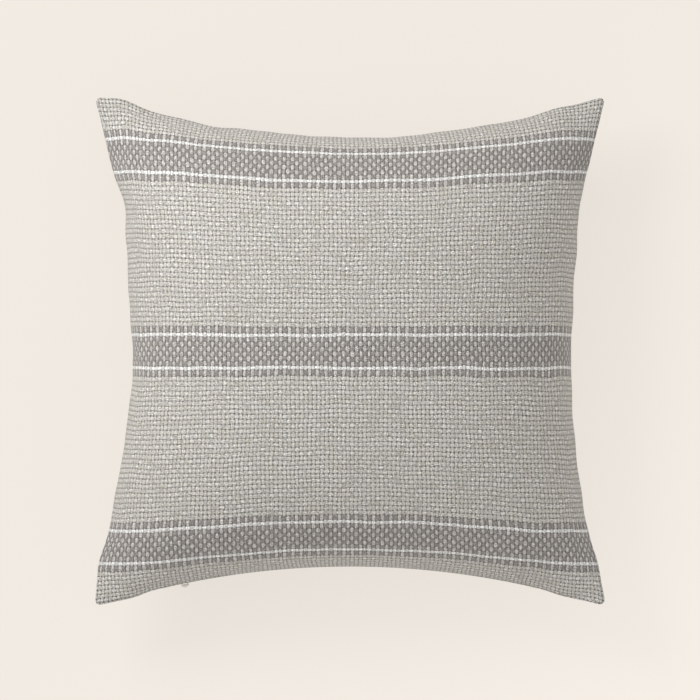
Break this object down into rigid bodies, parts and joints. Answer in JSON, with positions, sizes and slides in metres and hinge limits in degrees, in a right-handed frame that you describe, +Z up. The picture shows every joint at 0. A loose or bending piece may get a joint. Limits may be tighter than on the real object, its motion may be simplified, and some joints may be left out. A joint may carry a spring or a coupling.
{
  "type": "throw pillow",
  "caption": "Square knife-edge throw pillow: striped woven cover with a concealed zipper in its bottom seam, round a filled insert, lying on its back.",
  "frame": {"origin": "under the pillow's centre, on the surface that it rests on", "axes": "+Z up through the crown of the front panel, +X along the stripes, +Y towards the seam opposite the zipper"},
  "size_m": [0.445, 0.444, 0.162],
  "materials": {
    "cover_cloth": "coarse plain weave, cream and grey, with taupe stripes",
    "thread": "spun polyester thread",
    "zipper_tape": "woven polyester tape",
    "zipper_coil": "nylon coil",
    "slider": "painted zinc, satin",
    "stops": "painted metal, satin",
    "casing": "plain white non-woven cloth",
    "fill": "loose polyester fibre",
    "casing_thread": "spun polyester thread",
    "label": "blank satin tape"
  },
  "bodies": {
    "pillow": {"cover_front_panel": "cover_cloth", "cover_back_panel": "cover_cloth", "cover_seam_stitches": "thread", "cover_care_label": "label", "zipper_front_tape": "zipper_tape", "zipper_back_tape": "zipper_tape", "zipper_front_coil": "zipper_coil", "zipper_back_coil": "zipper_coil", "zipper_top_stops": "stops", "zipper_bottom_stop": "stops", "zipper_front_stitches": "thread", "zipper_back_stitches": "thread", "zipper_bartacks": "thread", "insert_front_casing": "casing", "insert_back_casing": "casing", "insert_fill": "fill", "insert_seam_stitches": "casing_thread", "insert_closing_stitches": "casing_thread", "insert_care_label": "label"},
    "slider": {"zipper_slider": "slider"},
    "pull": {"zipper_pull": "slider"}
  },
  "joints": [
    {"name": "slider_travel", "type": "hinge", "parent": "pillow", "child": "slider", "pos_m": [0, -0.89423, 0.076], "axis": [0, 0, -1], "range_deg": [0, 23.2], "deforming": ["zipper_front_coil", "zipper_back_coil"]},
    {"name": "pull_swing", "type": "hinge", "parent": "slider", "child": "pull", "pos_m": [-0.14322, -0.2037, 0.076], "axis": [-0.9792, -0.2031, 0], "range_deg": [-15, 195]}
  ]
}
